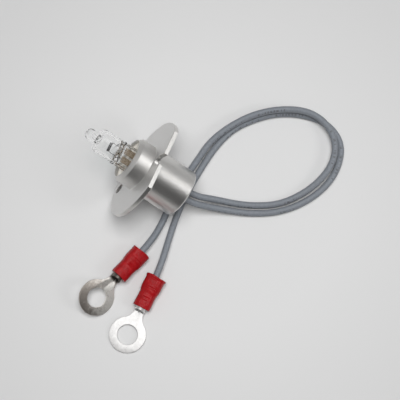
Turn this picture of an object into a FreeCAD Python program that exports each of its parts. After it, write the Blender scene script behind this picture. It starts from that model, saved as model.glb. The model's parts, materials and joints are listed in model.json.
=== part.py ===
import FreeCAD, Part
import math
import os
from FreeCAD import Placement, Rotation, Vector

# Analyzer halogen lamp, in millimetres. The lamp lies on a table at z = 0, bulb up towards -X,
# resting on its flange rim and on its two leads. The origin is under the middle of the lamp.

# Pose of the lamp on the table
lamp_tilt = 24.4
flat_roll = 14.3
lamp_place = 1.4925

# How far a cutting tool runs past what it cuts
overrun = 1.0

# Turned holder; heights run from the flange's front face, towards the bulb
flange_radius = 16.8
flange_thickness = 1.4
edge_break = 0.15
collar_radius = 7.6
collar_height = 4.6
nose_height = 1.3
nose_width = 1.05
bore_radius = 6.4
rear_radius = 7.8
rear_length = 15.2
rear_chamfer = 0.35
junction_fillet = 0.3
flat_distance = 13.3
notch_radius = 2.0
notch_gap = 0.4
screw_hole_radius = 1.75
screw_hole_margin = 1.55
screw_hole_angle = 198.5

# Quartz capsule
bulb_radius = 3.8
glass_wall = 0.75
shoulder_height = 9.8
dome_base = 15.9
dome_height = 1.6
dome_fullness = 1.02
pip_radius = 1.85
pip_neck_radius = 1.5
pip_swell = 0.08
pip_top = 21.3
capillary_radius = 0.55
capillary_top = 19.2
pinch_width = 7.66
pinch_thickness = 3.0
pinch_top = 10.2
pinch_face_height = 8.5
pinch_bottom = -1.0
pinch_edge = 0.45
bead_radius = 0.45
bead_rise = 0.22

# Filament, foils and pins
filament_height = 12.5
coil_length = 3.0
coil_radius = 0.48
coil_wire = 0.1
coil_pitch = 0.45
tail_radius = 0.11
tail_end = 7.2
tail_knee_drop = 1.2
tail_spread = 0.22
foil_width = 2.2
foil_thickness = 0.12
foil_top = 7.7
foil_bottom = 1.2
foil_spacing = 3.1
pin_radius = 0.35
pin_top = 2.6
pin_spacing = 2.6

# Cement, splices and leads inside the holder
cement_recess = 1.9
cement_depth = 5.6
cement_clearance = 0.03
splice_radius = 0.9
splice_length = 6.0
splice_sleeve_wall = 0.28
splice_gap = 0.9
core_radius = 0.55
core_overlap = 2.6
lead_radius = 1.05
rear_cement_recess = 0.6
rear_cement_depth = 3.0
sleeving_to_cement = 0.5

# Ring terminals
ring_radius = 5.8
ring_hole_radius = 3.2
ring_thickness = 0.8
barrel_radius = 1.6
barrel_bore_radius = 0.85
barrel_start = 4.6
barrel_end = 11.5
barrel_bevel = 0.9
neck_start = 10.9
neck_straight = 1.2
ring_place = 20.1
seam_width = 0.2
strand_radius = 0.8
strand_overlap = 4.6

# Vinyl sleeves: stations along the sleeve with half width and half height
sleeve_length = 10.7
sleeve_bore_clearance = 0.08
sleeve_mouth_radius = 2.1
sleeve_mouth_depth = 3.6
sleeve_rear = (3.2, 2.45)
sleeve_rear_neck = (3.2, 2.35)
sleeve_waist = (2.8, 2.15)
sleeve_front_swell = (2.8, 2.25)
sleeve_front = (2.85, 2.3)
sleeve_stations = (0.0, 0.35, 0.6, 0.82, 1.0)
lead_stop_gap = 0.1

# Where each terminal lies: its sleeve's rear end, heading, pitch up and roll
left_terminal = (Vector(12.75, -21.3, 2.85), -103.1, 4.2, -30.0)
right_terminal = (Vector(20.87, -26.0, 2.85), -87.8, -2.75, 0.0)

# Routes of the leads over the table, from the bend behind the holder to the bend before the sleeve
left_route = [
    Vector(24.6, 4.4, 4.45), Vector(30.5, 6.7, 2.05), Vector(36.2, 9.2, 1.2), Vector(42.75, 13.25, 1.2),
    Vector(47.8, 19.4, 1.75), Vector(51.0, 26.4, 2.75), Vector(51.9, 33.4, 3.25), Vector(49.6, 39.8, 3.65),
    Vector(43.8, 44.1, 3.75), Vector(36.3, 44.6, 3.65), Vector(28.3, 40.7, 3.55), Vector(21.9, 35.0, 3.45),
    Vector(17.4, 28.3, 3.25), Vector(14.2, 20.8, 3.1), Vector(13.5, 13.2, 2.25), Vector(12.7, 5.4, 1.1),
    Vector(12.6, -2.6, 1.05), Vector(13.7, -9.8, 1.15)]
right_route = [
    Vector(24.7, 1.5, 4.45), Vector(30.8, 4.1, 1.95), Vector(36.9, 6.7, 1.1), Vector(43.9, 11.0, 1.05),
    Vector(49.6, 17.4, 1.05), Vector(53.4, 25.4, 1.05), Vector(54.1, 33.2, 1.05), Vector(51.6, 40.8, 1.05),
    Vector(44.9, 44.6, 1.05), Vector(37.1, 43.9, 1.05), Vector(29.2, 40.4, 1.05), Vector(23.1, 34.9, 1.05),
    Vector(18.3, 28.1, 1.05), Vector(16.3, 20.6, 1.05), Vector(15.75, 12.8, 1.05), Vector(15.65, 4.8, 1.05),
    Vector(16.2, -3.2, 1.05), Vector(17.5, -11.0, 1.15)]
exit_run = 3.4
approach_run = 3.5
right_aside = -0.4
arc_share = 0.45


def lamp_height():
    tilt = math.radians(lamp_tilt)
    lowest_rim = (flange_thickness - edge_break) * math.sin(tilt)
    return flange_radius * math.cos(tilt) + lowest_rim


def lamp_pose():
    stand = Rotation(Vector(0, 1, 0), lamp_tilt - 90)
    roll = Rotation(Vector(0, 0, 1), flat_roll)
    return Placement(Vector(lamp_place, 0, lamp_height()), stand.multiply(roll))


def cylinder(radius, low, high, centre=(0, 0)):
    return Part.makeCylinder(radius, high - low, Vector(centre[0], centre[1], low))


def turned(points):
    face = Part.Face(Part.makePolygon([Vector(r, 0, z) for r, z in points + points[:1]]))
    return face.revolve(Vector(0, 0, 0), Vector(0, 0, 1), 360)


def arc(start, middle, end):
    return Part.Arc(start, middle, end).toShape()


def line(start, end):
    return Part.LineSegment(start, end).toShape()


def make_holder():
    tip = collar_height + nose_height
    back = -flange_thickness
    end = -rear_length
    outline = [
        (bore_radius, tip), (collar_radius - nose_width, tip), (collar_radius, collar_height),
        (collar_radius, 0), (flange_radius - edge_break, 0), (flange_radius, -edge_break),
        (flange_radius, back + edge_break), (flange_radius - edge_break, back), (rear_radius, back),
        (rear_radius, end + rear_chamfer), (rear_radius - rear_chamfer, end), (bore_radius, end)]
    body = turned(outline)
    corners = [edge for edge in body.Edges if is_junction(edge)]
    body = body.makeFillet(junction_fillet, corners)
    span = 2 * flange_radius
    low, high = back - overrun, overrun
    beyond = Part.makeBox(span, span, high - low, Vector(flat_distance, -span / 2, low))
    body = body.cut(beyond)
    notch_centre = max(collar_radius, rear_radius) + notch_gap + notch_radius
    round_end = cylinder(notch_radius, low, high, (notch_centre, 0))
    mouth = Part.makeBox(span, 2 * notch_radius, high - low, Vector(notch_centre, -notch_radius, low))
    angle = math.radians(screw_hole_angle)
    hole_place = flange_radius - screw_hole_margin - screw_hole_radius
    hole_centre = (hole_place * math.cos(angle), hole_place * math.sin(angle))
    hole = cylinder(screw_hole_radius, low, high, hole_centre)
    return body.cut(round_end.fuse(mouth)).cut(hole).removeSplitter()


def is_junction(edge):
    if not isinstance(edge.Curve, Part.Circle):
        return False
    at_front = abs(edge.Curve.Center.z) < 1e-6 and abs(edge.Curve.Radius - collar_radius) < 1e-6
    at_back = (abs(edge.Curve.Center.z + flange_thickness) < 1e-6
               and abs(edge.Curve.Radius - rear_radius) < 1e-6)
    return at_front or at_back


def bulb_profile(inset, neck_radius, pip_outer, top, bottom, floor_rise):
    radius = bulb_radius - inset
    floor_radius = pinch_thickness / 2
    dome_top = dome_base + dome_height - inset
    floor = Vector(0, 0, bottom - floor_rise)
    heel = Vector(floor_radius, 0, bottom - floor_rise)
    side_low = Vector(radius, 0, bottom)
    side_high = Vector(radius, 0, dome_base)
    neck = Vector(neck_radius, 0, dome_top)
    pip_side = Vector(pip_outer, 0, top - pip_outer)
    swell_mid = (neck + pip_side) / 2 + Vector(pip_swell, 0, 0)
    tip = Vector(0, 0, top)
    bend = math.radians(45)
    heel_mid = Vector(floor_radius + (radius - floor_radius) * math.sin(bend), 0,
                      bottom - floor_rise * math.cos(bend))
    dome_mid = Vector(neck_radius + (radius - neck_radius) * math.cos(bend) * dome_fullness, 0,
                      dome_base + (dome_top - dome_base) * math.sin(bend) * dome_fullness)
    tip_mid = Vector(pip_outer * math.sin(bend), 0, top - pip_outer * (1 - math.cos(bend)))
    edges = [line(floor, heel), arc(heel, heel_mid, side_low), line(side_low, side_high),
             arc(side_high, dome_mid, neck), arc(neck, swell_mid, pip_side), arc(pip_side, tip_mid, tip),
             line(tip, floor)]
    face = Part.Face(Part.Wire(edges))
    return face.revolve(Vector(0, 0, 0), Vector(0, 0, 1), 360)


def make_pinch():
    block = Part.makeBox(pinch_thickness, pinch_width, pinch_top - pinch_bottom,
                         Vector(-pinch_thickness / 2, -pinch_width / 2, pinch_bottom))
    upright = [edge for edge in block.Edges
               if abs(edge.Vertexes[0].X - edge.Vertexes[-1].X) < 1e-6
               and abs(edge.Vertexes[0].Y - edge.Vertexes[-1].Y) < 1e-6]
    block = block.makeFillet(pinch_edge, upright)
    for side in (-1, 1):
        for face in (-1, 1):
            centre = (face * (pinch_thickness / 2 + bead_rise - bead_radius),
                      side * (pinch_width / 2 - bead_radius))
            block = block.fuse(cylinder(bead_radius, pinch_bottom, pinch_face_height, centre))
    return block


def make_envelope(inner_pieces):
    floor_rise = shoulder_height - pinch_face_height
    outside = bulb_profile(0, pip_neck_radius, pip_radius, pip_top, shoulder_height, floor_rise)
    inside = bulb_profile(glass_wall, capillary_radius, capillary_radius, capillary_top,
                          shoulder_height + glass_wall, floor_rise / 2)
    glass = outside.fuse(make_pinch()).removeSplitter().cut(inside)
    for piece in inner_pieces:
        glass = glass.cut(piece)
    return glass


def make_filament():
    turns = round(coil_length / coil_pitch)
    length = turns * coil_pitch
    helix = Part.makeHelix(coil_pitch, length, coil_radius)
    ring = Part.Wire(Part.makeCircle(coil_wire, Vector(coil_radius, 0, 0), Vector(0, 1, 0)))
    coil = Part.Wire(helix).makePipeShell([ring], True, True)
    coil.translate(Vector(0, 0, -length / 2))
    coil.rotate(Vector(0, 0, 0), Vector(1, 0, 0), -90)
    coil.translate(Vector(0, 0, filament_height))
    filament = coil
    for side in (-1, 1):
        place = Vector(coil_radius, side * length / 2, filament_height)
        filament = filament.fuse(make_tail(place))
    return filament


def make_tail(place):
    on_foil = foil_thickness / 2 + tail_radius
    knee = Vector(on_foil, place.y + math.copysign(tail_spread, place.y), filament_height - tail_knee_drop)
    foot = Vector(on_foil, math.copysign(foil_spacing / 2, place.y), tail_end)
    upper = rod(place, knee, tail_radius)
    lower = rod(knee, foot, tail_radius)
    joint = Part.makeSphere(tail_radius, knee)
    head = Part.makeSphere(tail_radius, place)
    return upper.fuse([lower, joint, head])


def rod(start, end, radius):
    return Part.makeCylinder(radius, (end - start).Length, start, end - start)


def make_foil(side):
    centre = side * foil_spacing / 2
    return Part.makeBox(foil_thickness, foil_width, foil_top - foil_bottom,
                        Vector(-foil_thickness / 2, centre - foil_width / 2, foil_bottom))


def pin_centre(side):
    return foil_thickness / 2 + pin_radius, side * pin_spacing / 2


def rear_cement_span():
    low = rear_cement_recess - rear_length
    return low, low + rear_cement_depth


def jacket_end():
    return rear_cement_span()[1] + sleeving_to_cement


def splice_span():
    low = jacket_end() + splice_gap
    return low, low + splice_length


def make_pin(side):
    low, high = splice_span()
    return cylinder(pin_radius, (low + high) / 2, pin_top, pin_centre(side))


def make_splice(side):
    low, high = splice_span()
    middle = (low + high) / 2
    centre = pin_centre(side)
    barrel = cylinder(splice_radius, low, high, centre)
    pin_bore = cylinder(pin_radius, middle, high + overrun, centre)
    core_bore = cylinder(core_radius, low - overrun, middle - core_gap(), centre)
    return barrel.cut(pin_bore).cut(core_bore)


def core_gap():
    return splice_length / 2 - core_overlap


def make_core(side):
    low, high = splice_span()
    return cylinder(core_radius, jacket_end(), (low + high) / 2 - core_gap(), pin_centre(side))


def make_splice_sleeve(side):
    low, high = splice_span()
    centre = pin_centre(side)
    outer = splice_radius + splice_sleeve_wall
    return cylinder(outer, jacket_end(), high, centre).cut(
        cylinder(splice_radius, jacket_end() - overrun, high + overrun, centre))


def make_front_cement():
    top = collar_height + nose_height - cement_recess
    plug = cylinder(bore_radius, top - cement_depth, top)
    play = cement_clearance
    half_x = pinch_thickness / 2 + bead_rise + play
    half_y = pinch_width / 2 + play
    seat = Part.makeBox(2 * half_x, 2 * half_y, 3 * cement_depth, Vector(-half_x, -half_y, pinch_bottom))
    plug = plug.cut(seat)
    for side in (-1, 1):
        plug = plug.cut(cylinder(pin_radius + play, top - 2 * cement_depth, top, pin_centre(side)))
    return plug


def make_rear_cement():
    low, high = rear_cement_span()
    plug = cylinder(bore_radius, low, high)
    for side in (-1, 1):
        plug = plug.cut(cylinder(lead_radius + cement_clearance, low - overrun, high + overrun,
                                 pin_centre(side)))
    return plug


def terminal_pose(place):
    rear, heading, pitch, roll = place
    turn = Rotation(Vector(0, 0, 1), heading)
    rise = Rotation(Vector(0, 1, 0), -pitch)
    twist = Rotation(Vector(1, 0, 0), roll)
    return Placement(rear, turn.multiply(rise).multiply(twist))


def tongue_face():
    half = barrel_radius
    start = neck_start + neck_straight
    reach = ring_place - start
    flare = (reach ** 2 + half ** 2 - ring_radius ** 2) / (2 * (ring_radius - half))
    flare_centre = Vector(start, half + flare, 0)
    ring_centre = Vector(ring_place, 0, 0)
    towards_ring = (ring_centre - flare_centre).normalize()
    meeting = flare_centre + towards_ring * flare
    bisector = (towards_ring + Vector(0, -1, 0)).normalize()
    middle = flare_centre + bisector * flare
    tip = Vector(ring_place + ring_radius, 0, 0)
    edges = [
        line(Vector(neck_start, -half, 0), Vector(neck_start, half, 0)),
        line(Vector(neck_start, half, 0), Vector(start, half, 0)),
        arc(Vector(start, half, 0), middle, meeting),
        arc(meeting, tip, mirrored(meeting)),
        arc(mirrored(meeting), mirrored(middle), Vector(start, -half, 0)),
        line(Vector(start, -half, 0), Vector(neck_start, -half, 0))]
    return Part.Face(Part.Wire(edges))


def mirrored(point):
    return Vector(point.x, -point.y, point.z)


def along_x(radius, start, end):
    return Part.makeCylinder(radius, end - start, Vector(start, 0, 0), Vector(1, 0, 0))


def make_terminal(place):
    tongue = tongue_face().extrude(Vector(0, 0, ring_thickness))
    tongue.translate(Vector(0, 0, -barrel_radius))
    barrel = along_x(barrel_radius, barrel_start, barrel_end + barrel_bevel)
    bevel = Part.makeBox(4 * barrel_radius, 4 * barrel_radius, 4 * barrel_radius,
                         Vector(0, -2 * barrel_radius, -2 * barrel_radius))
    slope = math.degrees(math.atan2(barrel_bevel, 2 * barrel_radius))
    bevel.rotate(Vector(0, 0, 0), Vector(0, 1, 0), -slope)
    bevel.translate(Vector(barrel_end, 0, 0))
    barrel = barrel.cut(bevel)
    body = barrel.fuse(tongue).cut(along_x(barrel_bore_radius, barrel_start - overrun, ring_place))
    seam = Part.makeBox(barrel_end - barrel_start + 2 * overrun, seam_width, barrel_radius,
                        Vector(barrel_start - overrun, -seam_width / 2, barrel_bore_radius / 2))
    eye = Part.makeCylinder(ring_hole_radius, 4 * ring_thickness,
                            Vector(ring_place, 0, -barrel_radius - ring_thickness))
    body = body.cut(seam).cut(eye).removeSplitter()
    body.Placement = terminal_pose(place)
    return body


def ellipse_at(station, half_width, half_height):
    curve = Part.Ellipse(Vector(0, 0, 0), half_width, half_height).toShape()
    wire = Part.Wire([curve])
    wire.rotate(Vector(0, 0, 0), Vector(0, 0, 1), 90)
    wire.rotate(Vector(0, 0, 0), Vector(0, 1, 0), 90)
    wire.translate(Vector(station, 0, 0))
    return wire


def make_sleeve(place):
    sizes = (sleeve_rear, sleeve_rear_neck, sleeve_waist, sleeve_front_swell, sleeve_front)
    sections = [ellipse_at(share * sleeve_length, width, height)
                for share, (width, height) in zip(sleeve_stations, sizes)]
    body = Part.makeLoft(sections, True)
    bore_start = barrel_start - lead_stop_gap
    bore = along_x(barrel_radius + sleeve_bore_clearance, bore_start, sleeve_length + overrun)
    throat = along_x(lead_radius + sleeve_bore_clearance, -overrun, barrel_start)
    mouth = Part.makeCone(sleeve_mouth_radius, lead_radius + sleeve_bore_clearance, sleeve_mouth_depth,
                          Vector(0, 0, 0), Vector(1, 0, 0))
    body = body.cut(bore.fuse([throat, mouth]))
    body.Placement = terminal_pose(place)
    return body


def make_strand(place):
    strand = along_x(strand_radius, barrel_start - lead_stop_gap, barrel_start + strand_overlap)
    strand.Placement = terminal_pose(place)
    return strand


def lead_route(side, route, place):
    inner = lamp_pose().multVec(Vector(*pin_centre(side), jacket_end()))
    behind = lamp_pose().multVec(Vector(*pin_centre(side), -rear_length - exit_run))
    aside = right_aside if side < 0 else 0
    before = terminal_pose(place).multVec(Vector(-approach_run, aside, 0))
    stop = terminal_pose(place).multVec(Vector(barrel_start - lead_stop_gap, 0, 0))
    return [inner, behind] + route + [before, stop]


def lead_path(name, points):
    edges = []
    radii = []
    start = points[0]
    for before, corner, after in zip(points, points[1:], points[2:]):
        inward = before - corner
        outward = after - corner
        half_turn = (math.pi - inward.getAngle(outward)) / 2
        trim = arc_share * min(inward.Length, outward.Length)
        radius = trim / math.tan(half_turn)
        radii.append(radius)
        enter = corner + inward.normalize() * trim
        leave = corner + outward.normalize() * trim
        bisector = (inward + outward).normalize()
        middle = corner + bisector * (radius / math.cos(half_turn) - radius)
        edges.append(line(start, enter))
        edges.append(arc(enter, middle, leave))
        start = leave
    edges.append(line(start, points[-1]))
    print(name, "bend radii", [round(radius, 1) for radius in radii])
    return Part.Wire(edges)


def make_lead(name, side, route, place):
    points = lead_route(side, route, place)
    path = lead_path(name, points)
    ring = Part.Wire(Part.makeCircle(lead_radius, points[0], points[1] - points[0]))
    tube = path.makePipeShell([ring], True, False)
    expected = math.pi * lead_radius ** 2 * path.Length
    print(name, "length", round(path.Length, 1), "volume share", round(tube.Volume / expected, 4))
    return tube


def build():
    parts = {}
    left, right = 1, -1
    in_lamp = {"holder": make_holder(), "filament": make_filament()}
    for name, side in (("left", left), ("right", right)):
        in_lamp["foil_" + name] = make_foil(side)
        in_lamp["pin_" + name] = make_pin(side).cut(in_lamp["foil_" + name])
        in_lamp["splice_" + name] = make_splice(side)
        in_lamp["splice_sleeve_" + name] = make_splice_sleeve(side)
        in_lamp["core_" + name] = make_core(side)
    sealed = [in_lamp[name] for name in ("filament", "foil_left", "foil_right", "pin_left", "pin_right")]
    in_lamp["bulb_envelope"] = make_envelope(sealed)
    in_lamp["front_cement"] = make_front_cement()
    in_lamp["rear_cement"] = make_rear_cement()
    for name, shape in in_lamp.items():
        parts[name] = shape.transformed(lamp_pose().toMatrix())
    for name, side, route, place in (("left", left, left_route, left_terminal),
                                     ("right", right, right_route, right_terminal)):
        parts["lead_" + name] = make_lead("lead_" + name, side, route, place)
        parts["terminal_" + name] = make_terminal(place)
        parts["strand_" + name] = make_strand(place).cut(parts["lead_" + name])
        parts["sleeve_" + name] = make_sleeve(place)
    return parts


os.makedirs("parts", exist_ok=True)
for part_name, solid in build().items():
    solid.exportStep("parts/" + part_name + ".step")
    print(part_name, "valid", solid.isValid(), "solids", len(solid.Solids), "volume", round(solid.Volume, 2))
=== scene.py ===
import bpy
import bmesh
import json
import math
from mathutils import Matrix, Vector, noise


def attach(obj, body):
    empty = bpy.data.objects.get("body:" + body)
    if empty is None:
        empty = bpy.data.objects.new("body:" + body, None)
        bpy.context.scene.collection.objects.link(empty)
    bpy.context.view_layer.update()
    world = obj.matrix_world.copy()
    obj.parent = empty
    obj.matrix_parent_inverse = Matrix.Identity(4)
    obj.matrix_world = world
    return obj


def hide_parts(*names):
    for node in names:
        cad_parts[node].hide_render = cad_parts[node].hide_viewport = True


# The analyzer halogen lamp's finish: leads, glass, coil, turned holder and ring terminals.
# Everything is in metres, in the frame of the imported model.

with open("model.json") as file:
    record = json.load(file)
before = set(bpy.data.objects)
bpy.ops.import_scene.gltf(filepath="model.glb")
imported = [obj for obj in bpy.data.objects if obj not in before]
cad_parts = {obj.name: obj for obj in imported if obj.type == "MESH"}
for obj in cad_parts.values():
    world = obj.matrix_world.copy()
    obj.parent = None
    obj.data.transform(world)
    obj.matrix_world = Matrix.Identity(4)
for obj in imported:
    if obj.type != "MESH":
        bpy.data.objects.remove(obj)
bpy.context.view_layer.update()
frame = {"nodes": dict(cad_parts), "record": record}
mm = 0.001

# Pose of the lamp on the table
lamp_tilt = math.radians(24.4)
flat_roll = math.radians(14.3)

# Turned holder
flange_radius = 16.8 * mm
flange_thickness = 1.4 * mm
collar_radius = 7.6 * mm
collar_height = 4.6 * mm
nose_height = 1.3 * mm
nose_width = 1.05 * mm
bore_radius = 6.4 * mm
rear_radius = 7.8 * mm
rear_length = 15.2 * mm
rear_chamfer = 0.35 * mm
junction_fillet = 0.3 * mm
edge_round = 0.2 * mm
mouth_round = 0.3 * mm
flat_distance = 13.3 * mm
notch_radius = 2.0 * mm
notch_centre = 10.2 * mm
cut_chamfer = 0.12 * mm
cut_flare = 0.2 * mm
screw_hole_radius = 1.75 * mm
screw_hole_place = 13.5 * mm
screw_hole_angle = math.radians(198.5)

# Glass capsule
bulb_radius = 3.8 * mm
glass_wall = 0.75 * mm
pinch_half_thickness = 1.5 * mm
pinch_half_width = 3.83 * mm
pinch_bottom = -1.0 * mm
pinch_top = 8.5 * mm
shoulder_top = 10.3 * mm
dome_base = 15.9 * mm
dome_height = 1.6 * mm
pip_radius = 1.85 * mm
pip_neck_radius = 1.5 * mm
pip_top = 21.3 * mm
pip_seed = 4
capillary_radius = 0.55 * mm
capillary_top = 19.2 * mm
bead_radius = 0.45 * mm
bead_rise = 0.22 * mm
cavity_floor = 9.35 * mm
cavity_shoulder = 10.7 * mm
lip_height = 0.14 * mm
lip_spread = 0.13 * mm
lip_drop = 0.12 * mm
pinch_squareness = 9

# Filament
filament_height = 12.5 * mm
coil_length = 3.0 * mm
coil_radius = 0.38 * mm
coil_turns = 12.0
winding_radius = 0.075 * mm
winding_turns = 480.0
points_per_winding = 10
wire_radius = 0.022 * mm
tail_radius = 0.11 * mm
tail_end = 7.2 * mm
tail_knee_drop = 1.9 * mm
tail_bend_drop = 0.8 * mm
foil_thickness = 0.12 * mm
foil_spacing = 3.1 * mm

# Cement
cement_top = 4.0 * mm
cement_depth = 5.6 * mm
rear_cement_face = -14.6 * mm
rear_cement_depth = 3.0 * mm
creep_height = 0.8 * mm
creep_width = 0.6 * mm

# Leads
lead_radius = 1.05 * mm
splice_offset = 0.41 * mm
splice_spacing = 2.6 * mm
jacket_end = -11.1 * mm
exit_run = 3.4 * mm
approach_run = 3.5 * mm
right_aside = -0.4 * mm
lead_stop = 0.1 * mm
print_angle = 0.25
print_twist = 0.004
print_half_width = 0.055
print_pitch = 0.95
print_strength = 0.7

# Bare conductor ends
strand_radius = 0.14 * mm
strand_spacing = 0.27 * mm
strand_twist = 260.0
strand_length = 4.7 * mm

# Ring terminals
ring_radius = 5.8 * mm
ring_hole_radius = 3.2 * mm
ring_thickness = 0.8 * mm
ring_place = 20.1 * mm
barrel_radius = 1.6 * mm
barrel_bore_radius = 0.85 * mm
barrel_start = 4.6 * mm
barrel_end = 11.5 * mm
barrel_bevel = 0.9 * mm
neck_start = 10.9 * mm
neck_straight = 1.2 * mm
plate_round = 0.14 * mm
barrel_round = 0.1 * mm
eye_chamfer = 0.1 * mm
seam_width = 0.12 * mm

# Vinyl sleeves
sleeve_length = 10.7 * mm
sleeve_squareness = 2.35
sleeve_edge = 0.09 * mm
sleeve_slump = 0.22 * mm
rear_lip = 0.16 * mm

# Along the sleeve: share of its length, half width and half height in millimetres
sleeve_stations = [
    (0.0, 3.2, 2.45), (0.12, 3.12, 2.4), (0.35, 3.16, 2.35), (0.44, 3.04, 2.24),
    (0.56, 2.78, 2.12), (0.68, 2.76, 2.15), (0.9, 2.84, 2.27), (1.0, 2.82, 2.26)]

# Along its bore, from the front: share of the length and radius in millimetres
sleeve_bore = [(1.0, 1.65), (0.42, 1.65), (0.4, 1.3), (0.3, 1.45), (0.12, 1.95), (0.0, 2.1)]

# Where each terminal lies: its sleeve's rear end in millimetres, heading, pitch up and roll in degrees
left_terminal = ((12.75, -21.3, 2.85), -103.1, 4.2, -30.0)
right_terminal = ((20.87, -26.0, 2.85), -87.8, -2.75, 0.0)

# Routes of the leads over the table, in millimetres
left_route = [
    (24.6, 4.4, 4.45), (30.5, 6.7, 2.05), (36.2, 9.2, 1.2), (42.75, 13.25, 1.2), (47.8, 19.4, 1.75),
    (51.0, 26.4, 2.75), (51.9, 33.4, 3.25), (49.6, 39.8, 3.65), (43.8, 44.1, 3.75), (36.3, 44.6, 3.65),
    (28.3, 40.7, 3.55), (21.9, 35.0, 3.45), (17.4, 28.3, 3.25), (14.2, 20.8, 3.1), (13.5, 13.2, 2.25),
    (12.7, 5.4, 1.1), (12.6, -2.6, 1.05), (13.7, -9.8, 1.15)]
right_route = [
    (24.7, 1.5, 4.45), (30.8, 4.1, 1.95), (36.9, 6.7, 1.1), (43.9, 11.0, 1.05), (49.6, 17.4, 1.05),
    (53.4, 25.4, 1.05), (54.1, 33.2, 1.05), (51.6, 40.8, 1.05), (44.9, 44.6, 1.05), (37.1, 43.9, 1.05),
    (29.2, 40.4, 1.05), (23.1, 34.9, 1.05), (18.3, 28.1, 1.05), (16.3, 20.6, 1.05), (15.75, 12.8, 1.05),
    (15.65, 4.8, 1.05), (16.2, -3.2, 1.05), (17.5, -11.0, 1.15)]

# Camera, as the photograph looks
camera_place = Vector((0.0674, -0.0814, 0.4539))
camera_look = Vector((-0.10136, 0.18153, -0.97815))
camera_lens = 130.65
sensor_width = 36.0

# Surroundings
# Centre and reach of the painted pool of light on the floor, whose colour darkens away from the centre
light_pool_centre = (0.0204, 0.0028, 0.0)
light_pool_falloff = 0.089
fill_level = 0.16
pale_room = (0.70, 0.70, 0.71)
pale_glass = (0.70, 0.71, 0.71)
dark_side = (0.52, -0.72, 0.45)


def lamp_frame():
    mounts = {mount["name"]: mount for mount in frame["record"]["mounts"]}
    collar = mounts["collar"]
    along = Vector(collar["axis"]) * (junction_fillet + collar_height) / 2
    stand = Matrix.Rotation(lamp_tilt - math.pi / 2, 4, "Y")
    roll = Matrix.Rotation(flat_roll, 4, "Z")
    return Matrix.Translation(Vector(collar["pos_m"]) - along) @ stand @ roll


def terminal_frame(place):
    rear, heading, pitch, roll = place
    turn = Matrix.Rotation(math.radians(heading), 4, "Z")
    rise = Matrix.Rotation(math.radians(-pitch), 4, "Y")
    twist = Matrix.Rotation(math.radians(roll), 4, "X")
    return Matrix.Translation(Vector(rear) * mm) @ turn @ rise @ twist


lamp = lamp_frame()


def added(name, data):
    made = bpy.data.objects.new(name, data)
    bpy.context.scene.collection.objects.link(made)
    return made


def place_camera():
    camera = added("camera", bpy.data.cameras.new("camera"))
    camera.data.sensor_width = sensor_width
    camera.data.lens = camera_lens
    camera.location = camera_place
    camera.rotation_euler = camera_look.to_track_quat("-Z", "Y").to_euler()
    bpy.context.scene.camera = camera


# Building of meshes


def smoothed(mesh, sharp_angle):
    mesh.shade_smooth()
    mesh.set_sharp_from_angle(angle=math.radians(sharp_angle))
    return mesh


def mesh_of(name, shape):
    mesh = bpy.data.meshes.new(name)
    shape.to_mesh(mesh)
    shape.free()
    return mesh


def shown(name, shape, sharp_angle=30):
    return added(name, smoothed(mesh_of(name, shape), sharp_angle))


def outward(shape):
    bmesh.ops.remove_doubles(shape, verts=shape.verts, dist=1e-7)
    bmesh.ops.recalc_face_normals(shape, faces=shape.faces)
    return shape


def plain_mesh(piece):
    bpy.context.view_layer.update()
    depsgraph = bpy.context.evaluated_depsgraph_get()
    finished = bpy.data.meshes.new_from_object(piece.evaluated_get(depsgraph), depsgraph=depsgraph)
    finished.name = piece.name
    return finished


def settle(piece, sharp_angle=30):
    """Turns what the modifiers make into the piece's own plain mesh."""
    finished = plain_mesh(piece)
    piece.modifiers.clear()
    piece.data = smoothed(finished, sharp_angle)
    return piece


def combine(piece, others, operation):
    for other in others:
        modifier = piece.modifiers.new(operation, "BOOLEAN")
        modifier.object = other
        modifier.operation = operation
        modifier.solver = "EXACT"
    settle(piece)
    for other in others:
        bpy.data.objects.remove(other)
    return piece


def put(piece, matrix):
    piece.data.transform(matrix)
    piece.data.update()
    return piece


def paint(piece, skin):
    piece.data.materials.clear()
    piece.data.materials.append(skin)


def turns_of(segments):
    return [math.tau * step / segments for step in range(segments)]


def spread(low, high, count):
    return [low + (high - low) * step / count for step in range(count + 1)]


def circle_outline(radius, segments=64, centre=(0, 0)):
    return [(centre[0] + radius * math.cos(t), centre[1] + radius * math.sin(t))
            for t in turns_of(segments)]


def level_ring(outline, height):
    return [Vector((x, y, height)) for x, y in outline]


def rounded(corners, steps=4):
    """A closed outline whose corners (x, y, radius) become arcs."""
    outline = []
    for index, (x, y, radius) in enumerate(corners):
        here = Vector((x, y))
        before = (Vector(corners[index - 1][:2]) - here).normalized()
        after = (Vector(corners[(index + 1) % len(corners)][:2]) - here).normalized()
        half = before.angle(after) / 2
        reach = radius / math.tan(half)
        centre = here + (before + after).normalized() * (radius / math.sin(half))
        start = (here + before * reach - centre).normalized()
        end = (here + after * reach - centre).normalized()
        outline += [centre + start.slerp(end, share) * radius for share in spread(0, 1, steps)]
    return outline


def ring_bands(rings, closed_along=False):
    """A mesh through rings of points. A ring of one point is a pole."""
    shape = bmesh.new()
    rows = [[shape.verts.new(point) for point in ring] for ring in rings]
    pairs = list(zip(rows, rows[1:]))
    if closed_along:
        pairs.append((rows[-1], rows[0]))
    for lower, upper in pairs:
        count = max(len(lower), len(upper))
        for index in range(count):
            after = (index + 1) % count
            if len(lower) == 1:
                corners = [lower[0], upper[after], upper[index]]
            elif len(upper) == 1:
                corners = [lower[index], lower[after], upper[0]]
            else:
                corners = [lower[index], lower[after], upper[after], upper[index]]
            shape.faces.new(corners)
    return shape


def revolved(outline, segments):
    """Turns a closed outline of (radius, height) about the z axis."""
    rings = []
    for radius, height in outline:
        rings.append(level_ring(circle_outline(radius, segments), height))
    return ring_bands(rings, closed_along=True)


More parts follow.
